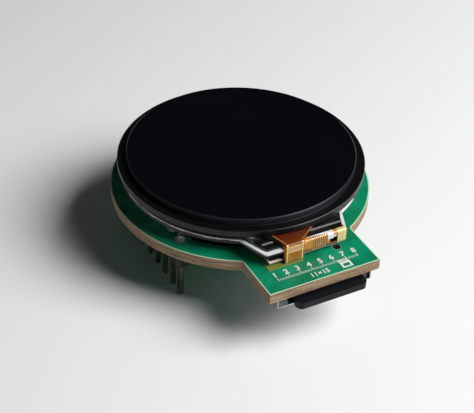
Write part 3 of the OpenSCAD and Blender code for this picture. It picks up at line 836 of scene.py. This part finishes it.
@dataclass
class CarrierBoard(Module):
    """Solder mask, tinned pads, vias and printed marks of the carrier board."""

    radius: float = 19.0
    tongue_half: float = 8.6
    reach: float = 24.7
    inside_r: float = 0.6
    low: float = 2.54
    high: float = 4.14
    setback: float = 0.16
    mask_t: float = 0.025
    ink_t: float = 0.015
    row_x: float = 13.97
    pitch: float = 2.54
    pins: int = 8
    peg_x: float = 4.6
    peg_y: float = -19.75
    peg_r: float = 0.6
    peg_gap: float = 0.06
    peg_wall: float = 0.03
    peg_low: float = 0.1
    peg_lip: float = 0.02
    pad_r: float = 0.98
    pad_gap: float = 0.03
    pad_t: float = 0.03
    drill_r: float = 0.5
    via_r: float = 0.3
    via_h: float = 0.03
    via_places: tuple[Point, ...] = (
        (-10.94, -13.1), (-12.3, -11.9), (10.9, -13.3), (7.3, -19.4), (-7.4, -21.8), (12.4, -11.6),
    )
    marks: BoardPrint = BoardPrint()

    def outline(self, inset: float) -> list[Point]:
        """Returns the board's outline drawn in by an inset."""
        r = self.radius - inset
        w = self.tongue_half - inset
        cx = self.tongue_half + self.inside_r
        cy = -math.sqrt((self.radius + self.inside_r) ** 2 - cx**2)
        turn = math.degrees(math.atan2(cy, cx))
        right = arc((cx, cy), self.inside_r + inset, 180, 180 + turn, 8)
        rim = arc((0, 0), r, turn, 180 - turn, 180)
        left = [(-x, y) for x, y in reversed(right)]
        return [(-w, inset - self.reach), (w, inset - self.reach), *right, *rim[1:-1], *left]

    def pad_places(self) -> list[Point]:
        """Returns the centre of each pin's pad."""
        first = -(self.pins - 1) / 2 * self.pitch
        rows = [first + i * self.pitch for i in range(self.pins)]
        return [(side * self.row_x, y) for side in (-1, 1) for y in rows]

    def mask(self) -> None:
        """Lays the green mask on both faces, set back from the milled edge."""
        holes = [arc(p, self.pad_r, 360, 0, 32)[:-1] for p in self.pad_places()]
        peg_r = self.peg_r + self.peg_gap
        pegs = [arc((s * self.peg_x, self.peg_y), peg_r, 360, 0, 32)[:-1] for s in (-1, 1)]
        loops = [self.outline(self.setback), *holes, *pegs]
        top = sheet_piece("mask_top", loops, self.high, self.high + self.mask_t)
        self.add(top, FinishName.MASK, "board")
        under = sheet_piece("mask_underside", loops, self.low - self.mask_t, self.low)
        self.add(under, FinishName.MASK, "board")

    def pads(self) -> None:
        """Lays the tinned rings that show round the solder joints."""
        for i, place in enumerate(self.pad_places()):
            outside = arc(place, self.pad_r - self.pad_gap, 0, 360, 32)[:-1]
            inside = arc(place, self.drill_r, 360, 0, 24)[:-1]
            top = self.high + self.pad_t
            pad = sheet_piece(f"pad_{i + 1}", [outside, inside], self.high, top)
            self.add(pad, FinishName.TIN, "solder")

    def peg_holes(self) -> None:
        """Lines the socket's two peg holes with a dark wall, painted shade inside the holes."""
        r, low, high = self.peg_r, self.low + self.peg_low, self.high - self.peg_lip
        profile = [(r - self.peg_wall, low), (r, low), (r, high), (r - self.peg_wall, high)]
        for name, side in (("left", -1), ("right", 1)):
            wall = turned_piece(f"peg_hole_{name}", profile, 32)
            place = (side * self.peg_x * MM, self.peg_y * MM, 0)
            wall.data.transform(Matrix.Translation(place))
            # black lining: painted shade inside the hole
            self.add(wall, FinishName.HEADER, "board")

    def vias(self) -> None:
        """Raises small tented vias beside the display."""
        z, r, h, sunk = self.high + self.mask_t, self.via_r, self.via_h, 0.01
        ring = [(r * 0.75, z + h), (r * 0.45, z + h * 0.9), (r * 0.25, z + h * 0.3)]
        profile = [(r, z - sunk), (r, z), *ring, (0.02, z), (0.02, z - sunk)]
        for i, (x, y) in enumerate(self.via_places):
            via = turned_piece(f"via_{i + 1}", profile, 24)
            via.data.transform(Matrix.Translation((x * MM, y * MM, 0)))
            self.add(via, FinishName.MASK, "board")

    def ink(self, mark: Thing) -> None:
        """Adds one printed mark."""
        self.add(mark, FinishName.INK, "board")

    def print_tongue(self) -> None:
        """Prints contact numbers, a scale, and the card's size and outline on the tongue."""
        p = self.marks
        low = self.high + self.mask_t
        z = (low, low + self.ink_t)
        for i in range(p.numbers):
            at = (p.first_x + i * p.number_step, p.number_y)
            self.ink(text_piece(f"number_{i + 1}", str(i + 1), at, p.number_h, *z))
        ticks = []
        for i in range(p.ticks):
            x = p.first_x + i * p.tick_step
            top = p.tick_y + (p.tick_long if i % p.long_every == 0 else p.tick_short)
            ticks.append(block(x - p.tick_half, p.tick_y, x + p.tick_half, top))
        self.ink(sheet_piece("printed_scale", ticks, *z))
        self.ink(text_piece("card_size", "11×15", p.size_at, p.size_h, *z))
        x0, y0, x1, y1 = p.contact
        steps = [i * p.contact_step for i in range(p.contacts)]
        contacts = [block(x0 + step, y0, x1 + step, y1) for step in steps]
        self.ink(sheet_piece("card_picture", [list(p.card), *contacts, block(*p.window)], *z))

    def print_underside(self) -> None:
        """Numbers the end pins of both rows on the underside."""
        p = self.marks
        z = (self.low - self.mask_t - self.ink_t, self.low - self.mask_t)
        for side in (-1, 1):
            for i in (0, self.pins - 1):
                at = (side * (self.row_x - p.pin_number_in), (i - (self.pins - 1) / 2) * self.pitch)
                number = str(i + 1 if side < 0 else self.pins + i + 1)
                name = f"pin_number_{number}"
                self.ink(text_piece(name, number, at, p.pin_number_h, *z, turned=True))

    def build(self) -> None:
        """Builds everything on the board."""
        self.mask()
        self.pads()
        self.peg_holes()
        self.vias()
        self.print_tongue()
        self.print_underside()


@dataclass
class FoldedFlexes(Module):
    """Copper on the two flexible circuits that fold round the display's chin."""

    top_z: float = 4.14
    fold_z: float = 4.94
    film_t: float = 0.1
    bend_r: float = 0.25
    filter_z: float = 6.99
    chin: float = 19.8
    gap: float = 0.05
    copper_t: float = 0.014
    bond_l: float = 0.9
    tail_y: float = -10.9
    trace_x: float = 0.5
    trace_w: float = 0.14
    trace_step: float = 0.29
    umber_x: float = 0.66
    umber_w: float = 0.11
    traces: int = 8
    ground: tuple[Span, ...] = ((4.54, 4.84), (4.92, 5.26), (5.34, 5.86), (-3.8, -3.2))
    cover: Box = (-0.6, -19.3, 5.75, -18.95)
    cover_t: float = 0.03
    bead: tuple[Point, ...] = ((-0.2, -19.4), (2.9, -19.74), (2.9, -19.3), (-0.2, -19.33))
    bead_t: float = 0.035
    lug_x: Span = (2.9, 3.82)
    lug_back: float = -19.3
    lug_foot: float = 6.15
    lug_t: float = 0.03
    left: float = -3.75
    right: float = -0.85
    touch_fold: float = 7.4
    kink_z: float = 5.2
    kink_angle: float = 245.0
    fold_line_z: float = 6.98
    cross_z: float = 6.1
    line_half: float = 0.06
    patch_in: float = 0.42
    patch_w: float = 0.22
    patch_step: float = 0.26
    root_z: Span = (7.404, 7.491)
    flare_w: float = 0.14
    flare_left: tuple[Point, ...] = ((-3.58, -19.72), (-4.22, -18.0), (-4.42, -17.45))
    flare_right: tuple[Point, ...] = ((-1.12, -19.72), (1.35, -18.02))
    root_plan: tuple[Point, ...] = (
        (-3.7, -19.72), (-4.36, -18.0), (-4.56, -17.45), (-5.85, -16.95), (-5.05, -18.0),
    )

    def display_path(self) -> list[Point]:
        """Returns the outer face of the display flex, from its bond back to its tail."""
        r = self.bend_r + self.film_t
        y = -(self.chin + self.gap) - self.film_t
        high = self.filter_z + self.film_t
        upper = arc((y + r, high - r), r, 90, 180, 10)
        lower = arc((y + r, self.fold_z + r), r, 180, 270, 10)
        return [(-self.chin + self.bond_l, high), *upper, *lower, (self.tail_y, self.fold_z)]

    def touch_y(self) -> float:
        """Returns the outer face of the touch flex's front."""
        return -(self.chin + 2 * self.gap + 2 * self.film_t)

    def touch_bend(self, start: float, end: float) -> list[Point]:
        """Returns the outer face of the touch flex's upper bend between two angles in degrees."""
        r = self.bend_r + self.film_t
        return arc((self.touch_y() + r, self.touch_fold - r), r, start, end, 8)

    def touch_front(self, start: float) -> list[Point]:
        """Returns the touch flex's front from a height down to the board."""
        r, y = self.bend_r + self.film_t, self.touch_y()
        foot = arc((y + r, self.top_z + r), r, 180, self.kink_angle, 8)
        return [(y, start), (y, self.kink_z), *foot]

    def display_copper(self) -> None:
        """Lays the fine traces and the wide ground strips of the display flex."""
        path, t = self.display_path(), self.copper_t
        fine = row(self.trace_x, self.trace_w, self.trace_step, self.traces)
        dark = row(self.umber_x, self.umber_w, self.trace_step, self.traces)
        traces = strip_piece("display_flex_traces", path, fine, -t)
        self.add(traces, FinishName.COPPER, "gold_plate")
        gaps = strip_piece("display_flex_gaps", path, dark, -0.4 * t)
        self.add(gaps, FinishName.UMBER, "flex_film")
        ground = strip_piece("display_flex_ground", path, list(self.ground), -t)
        self.add(ground, FinishName.GOLD_AND_HIGHLIGHT, "gold_plate")

    def bond(self) -> None:
        """Covers the display flex's bond: black tape, a pale bead before it, the frame's lug."""
        z = self.filter_z + self.film_t
        cover = sheet_piece("bond_cover", [block(*self.cover)], z, z + self.cover_t)
        self.add(cover, FinishName.TAPE, "black_tape")
        bead = sheet_piece("bond_bead", [list(self.bead)], z, z + self.bead_t)
        self.add(bead, FinishName.FRAME, "white_plastic")
        bend = [p for p in self.display_path() if p[1] > self.lug_foot - 0.15]
        path = [(self.lug_back, z), *bend[1:], (bend[-1][0], self.lug_foot)]
        lug = strip_piece("frame_lug", path, [self.lug_x], -self.lug_t)
        self.add(lug, FinishName.FRAME, "white_plastic")

    def gild(self, name: str, path: list[Point], sides: list[Span], lift: float) -> None:
        """Lays bright gold strips along a path of the touch flex: edge traces, and lines across,
        the upper of which is a painted highlight.

        Args:
            name: Last part of the piece's name.
            path: Points of the strips' inner faces.
            sides: Left and right x of each strip.
            lift: Thickness, in copper layers.
        """
        strips = strip_piece(f"touch_flex_{name}", path, sides, -lift * self.copper_t)
        self.add(strips, FinishName.GOLD_AND_HIGHLIGHT, "gold_plate")

    def touch_copper(self) -> None:
        """Lays the touch flex's copper: edges, a folded patch, two bright lines across, the upper
        one a painted highlight of the fold, and lines below.
        """
        left, right, y, low = self.left, self.right, self.touch_y(), self.cross_z
        below = self.touch_front(low)
        edges = [(left + 0.16, left + 0.34), (right - 0.36, right - 0.2)]
        self.gild("edges", [*self.touch_bend(120, 180), *below], edges, 1.6)
        inner = row(left + self.patch_in, self.patch_w, self.patch_step, self.traces)
        fold = [(y, self.fold_line_z), (y, low)]
        patch = strip_piece("touch_flex_patch", fold, inner, -self.copper_t)
        self.add(patch, FinishName.PINK_COPPER, "gold_plate")
        lines = [
            (left + 0.7, left + 0.76), (right - 0.95, right - 0.87), (right - 0.7, right - 0.62),
        ]
        traces = strip_piece("touch_flex_traces", below, lines, -self.copper_t)
        self.add(traces, FinishName.COPPER, "gold_plate")
        across = [(left + 0.05, right - 0.05)]
        # two bright gold strips across the flex: the upper one is a painted highlight of the fold,
        # the lower one lies at the patch's lower end
        for name, z in (("fold_highlight", self.fold_line_z), ("cross_line", low)):
            self.gild(name, [(y, z + self.line_half), (y, z - self.line_half)], across, 1.8)

    def flare_lines(self) -> None:
        """Lays the two copper lines that run up the touch flex's flared root."""
        w, t = self.flare_w, self.copper_t
        low, high = self.root_z
        for name, route in (("left", self.flare_left), ("right", self.flare_right)):
            points: list[Spot] = []
            for i, (x, y) in enumerate(route):
                z = high if i else low
                points += [(px, y, pz) for px, pz in block(x - w / 2, z, x + w / 2, z + t)]
            last = 4 * len(route) - 4
            faces = [(0, 1, 2, 3), *(f for base in range(0, last, 4) for f in walls(base, 4))]
            faces.append((last + 3, last + 2, last + 1, last))
            line = piece(f"touch_flex_flare_{name}", points, faces)
            self.add(line, FinishName.COPPER, "gold_plate")

    def root_cover(self) -> None:
        """Lays the black cover film over the left corner of the touch flex's root."""
        low, high = self.root_z
        plan = [(x, y, high if i else low) for i, (x, y) in enumerate(self.root_plan)]
        points = [*plan, *((x, y, z + self.copper_t) for x, y, z in plan)]
        faces = [(4, 1, 0), (4, 3, 2, 1), (5, 6, 9), (6, 7, 8, 9), *walls(0, 5)]
        self.add(piece("touch_flex_root_cover", points, faces), FinishName.TAPE, "black_tape")

    def build(self) -> None:
        """Builds the copper of both circuits and what lies over the bond."""
        self.display_copper()
        self.bond()
        self.touch_copper()
        self.flare_lines()
        self.root_cover()


@dataclass
class LensStack(Module):
    """Bond line between the two glass discs, and the black tape round the white frame."""

    lens_r: float = 16.7
    lens_z: float = 8.53
    bead: float = 0.07
    frame_r: float = 17.5
    frame_low: float = 6.04
    tape_high: float = 6.47
    tape_chin: float = 6.38
    tape_t: float = 0.04
    tape_waver: float = 0.045
    waves: tuple[Spot, ...] = ((1.0, 23, 1), (0.8, 61, 2), (0.7, 127, 0))
    bare_x: float = 5.5
    bare_y: float = -13.6
    bare_h: float = 0.04
    chin_y: float = -15.2
    chin: float = 19.8
    chin_shift: float = -0.3
    chin_front: float = 12.7
    chin_slope: float = 21.29
    corner_r: float = 0.4
    roots: Span = (-64.16, 241.4)

    def frame_outline(self, grow: float) -> list[Point]:
        """Returns the outline of the white frame with its chin.

        Args:
            grow: How far outside the frame the outline runs.

        Returns:
            The closed outline.
        """
        r = self.corner_r
        lean = math.radians(self.chin_slope)
        half = self.chin_front / 2 + r * math.tan(lean) - r / math.cos(lean)
        y = r - self.chin
        left = arc((self.chin_shift - half, y), r + grow, 180 + self.chin_slope, 270, 6)
        right = arc((self.chin_shift + half, y), r + grow, 270, 360 - self.chin_slope, 6)
        return [*arc((0, 0), self.frame_r + grow, *self.roots, 240), *left, *right]

    def tape_top(self, x: float, y: float) -> float:
        """Returns the height of the tape's upper edge at a place.

        The edge is uneven round the display, and low and straight at the chin. The tape ends
        just above the frame's foot on the chin's right side.

        Args:
            x: Place across the frame.
            y: Place along the frame.

        Returns:
            The height.
        """
        if x > self.bare_x and y < self.bare_y:
            return self.frame_low + self.bare_h
        if y < self.chin_y:
            return self.tape_chin
        angle = math.atan2(y, x)
        waver = sum(share * math.sin(turns * angle + lag) for share, turns, lag in self.waves)
        return self.tape_high + self.tape_waver * waver

    def edge_tape(self) -> None:
        """Lays black tape round the lower part of the frame's edge."""
        outer, inner, low = self.frame_outline(self.tape_t), self.frame_outline(0.0), self.frame_low
        points: list[Spot] = []
        for (x1, y1), (x0, y0) in zip(outer, inner):
            top = self.tape_top(x0, y0)
            points += [(x0, y0, low), (x1, y1, low), (x1, y1, top), (x0, y0, top)]
        faces, count = [], len(outer)
        for i in range(count):
            j = (i + 1) % count
            for k in range(4):
                n = (k + 1) % 4
                faces.append((4 * i + k, 4 * j + k, 4 * j + n, 4 * i + n))
        self.add(piece("frame_edge_tape", points, faces), FinishName.TAPE, "black_tape")

    def build(self) -> None:
        """Builds the tape and the bead of adhesive round the foot of the cover lens."""
        self.edge_tape()
        r, z, b = self.lens_r, self.lens_z, self.bead
        inside, sunk = r - 0.03, z - 0.01
        hump = [(r + b * 0.9, z + b * 0.3), (r + b * 0.4, z + b * 0.7)]
        profile = [(inside, sunk), (r + b, sunk), *hump, (inside, z + b)]
        self.add(turned_piece("lens_bead", profile), FinishName.BEAD, "black_glass")


@dataclass
class CardSocket(Module):
    """Folded steel ears that close the socket's mouth on both sides of the card, their steel
    darkened as painted shade of the mouth.
    """

    half: float = 7.18
    card_half: float = 5.6
    front: float = -24.3
    sheet_t: float = 0.08
    high: float = 2.5
    low_gap: float = 0.16

    def build(self) -> None:
        """Builds both ears above the shell's floor."""
        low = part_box("card_socket_shell")[0][2] / MM + self.low_gap
        for name, side in (("left", -1), ("right", 1)):
            x0, x1 = sorted((side * self.card_half, side * self.half))
            plan = block(x0, self.front, x1, self.front + self.sheet_t)
            points = [(x, y, z) for z in (low, self.high) for x, y in plan]
            faces = [(3, 2, 1, 0), (4, 5, 6, 7), *walls(0, 4)]
            ear = piece(f"socket_ear_{name}", points, faces)
            # dark steel: painted shade of the socket's mouth
            self.add(ear, FinishName.STEEL_PAINTED_SHADE, "socket_steel")


@dataclass
class CadDress:
    """Finish of every CAD node: each finish with the names of its nodes."""

    paints: Paintbox
    nodes_of: dict[FinishName, str] = field(
        default_factory=lambda: {
            FinishName.CORE: "pcb",
            FinishName.SOLDER: "solder_joints",
            FinishName.HEADER: "header_left_body header_right_body",
            FinishName.PIN: "header_left_pins header_right_pins",
            FinishName.SOCKET: "card_socket_body",
            FinishName.STEEL: "card_socket_shell",
            FinishName.GOLD: "card_socket_contacts card_detect_spring memory_card_pads",
            FinishName.CARD: "memory_card",
            FinishName.FOAM: "mounting_foam flex_foam",
            FinishName.STIFFENER: "flex_stiffener",
            FinishName.DISPLAY_FLEX: "display_flex led_strip",
            FinishName.TIN: "flex_solder regulator_leads transistor_leads chip_terminals",
            FinishName.TOUCH_FLEX: "touch_flex",
            FinishName.EPOXY: "touch_controller regulator_body transistor_body",
            FinishName.FRAME: "backlight_frame",
            FinishName.FILM_WHITE: "reflector_film diffuser_film",
            FinishName.GUIDE: "light_guide",
            FinishName.FILM_CLEAR: "prism_film",
            FinishName.LED: "backlight_leds",
            FinishName.POLARISER: "rear_polariser front_polariser",
            FinishName.CELL_GLASS: "array_glass color_filter_glass",
            FinishName.CHIP: "driver_chip",
            FinishName.TAPE: "light_shield_tape",
            FinishName.ADHESIVE: "lens_adhesive",
            FinishName.TOUCH_GLASS: "touch_sensor",
            FinishName.LENS_GLASS: "cover_lens",
            FinishName.CERAMIC: "capacitors",
            FinishName.RESISTOR: "resistors",
        }
    )

    def build(self, nodes: dict[str, Thing]) -> None:
        """Gives each CAD node its finish.

        Args:
            nodes: The CAD nodes by name.
        """
        finish_of = {n: finish for finish, names in self.nodes_of.items() for n in names.split()}
        for name, thing in nodes.items():
            self.paints.dress(thing, finish_of[name])


# ---------------------------------------------------------------- studio


@dataclass
class Studio:
    """Table, lamp, world and camera round the module."""

    paints: Paintbox
    floor_z: float = -6.0
    floor_half: float = 900.0
    lamp_at: Spot = (232, -218, 322)
    lamp_size: float = 280
    lamp_power: float = 2.7
    ambient: float = 0.03
    backdrop: float = 0.86
    camera_at: Spot = (-76.756, -136.494, 118.483)
    azimuth: float = -29.24
    elevation: float = 37.346
    roll: float = 2.367
    lens: float = 99.9

    def table(self) -> None:
        """Lays the table under the pins."""
        half = self.floor_half
        corners = [(x, y, self.floor_z) for x, y in block(-half, -half, half, half)]
        table = piece("table", corners, [(0, 1, 2, 3)])
        self.paints.dress(table, FinishName.TABLE)

    def lamp(self) -> None:
        """Hangs the square lamp that faces the module."""
        light = bpy.data.lights.new("key_lamp", "AREA")
        light.size = self.lamp_size * MM
        light.energy = self.lamp_power
        lamp = bpy.data.objects.new("key_lamp", light)
        place = Vector(self.lamp_at) * MM
        lamp.location = place
        lamp.rotation_euler = (-place).to_track_quat("-Z", "Y").to_euler()
        bpy.context.scene.collection.objects.link(lamp)

    def world(self) -> None:
        """Sets a soft even sky that the camera sees as pale grey."""
        world = bpy.data.worlds.new("studio_sky")
        world.use_nodes = True
        tree = world.node_tree
        sky = tree.nodes["Background"]
        paths = tree.nodes.new("ShaderNodeLightPath")
        strength = tree.nodes.new("ShaderNodeMix")
        strength.data_type = "FLOAT"
        strength.inputs[2].default_value = self.ambient
        strength.inputs[3].default_value = self.backdrop
        tree.links.new(paths.outputs["Is Camera Ray"], strength.inputs[0])
        tree.links.new(strength.outputs[0], sky.inputs["Strength"])
        sky.inputs["Color"].default_value = (1, 1, 1, 1)
        bpy.context.scene.world = world

    def camera(self) -> None:
        """Places the camera by its azimuth, elevation and roll."""
        az, el, roll = (math.radians(v) for v in (self.azimuth, self.elevation, self.roll))
        back = Vector((math.sin(az) * math.cos(el), -math.cos(az) * math.cos(el), math.sin(el)))
        level = Vector((math.cos(az), math.sin(az), 0))
        upright = back.cross(level)
        right = math.cos(roll) * level + math.sin(roll) * upright
        up = -math.sin(roll) * level + math.cos(roll) * upright
        data = bpy.data.cameras.new("camera")
        data.lens = self.lens
        data.sensor_width = 36
        data.clip_start = 0.005
        camera = bpy.data.objects.new("camera", data)
        turn = Matrix((right, up, back)).transposed().to_4x4()
        camera.matrix_world = Matrix.Translation(Vector(self.camera_at) * MM) @ turn
        bpy.context.scene.collection.objects.link(camera)
        bpy.context.scene.camera = camera

    def build(self) -> None:
        """Builds the studio."""
        self.table()
        self.lamp()
        self.world()
        self.camera()
        bpy.context.scene.view_settings.view_transform = "Standard"


def main() -> None:
    """Builds the scene in order and reports each part of it."""
    logging.basicConfig(level=logging.INFO, format="%(message)s")
    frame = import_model()
    paints = Paintbox()
    Studio(paints).build()
    LOG.info("studio is set")
    CadDress(paints).build(frame["nodes"])
    LOG.info("%d nodes are dressed", len(frame["nodes"]))
    for part in (CarrierBoard(paints), CardSocket(paints), FoldedFlexes(paints), LensStack(paints)):
        part.build()
        LOG.info("%s is built", type(part).__name__)


if __name__ == "__main__":
    main()
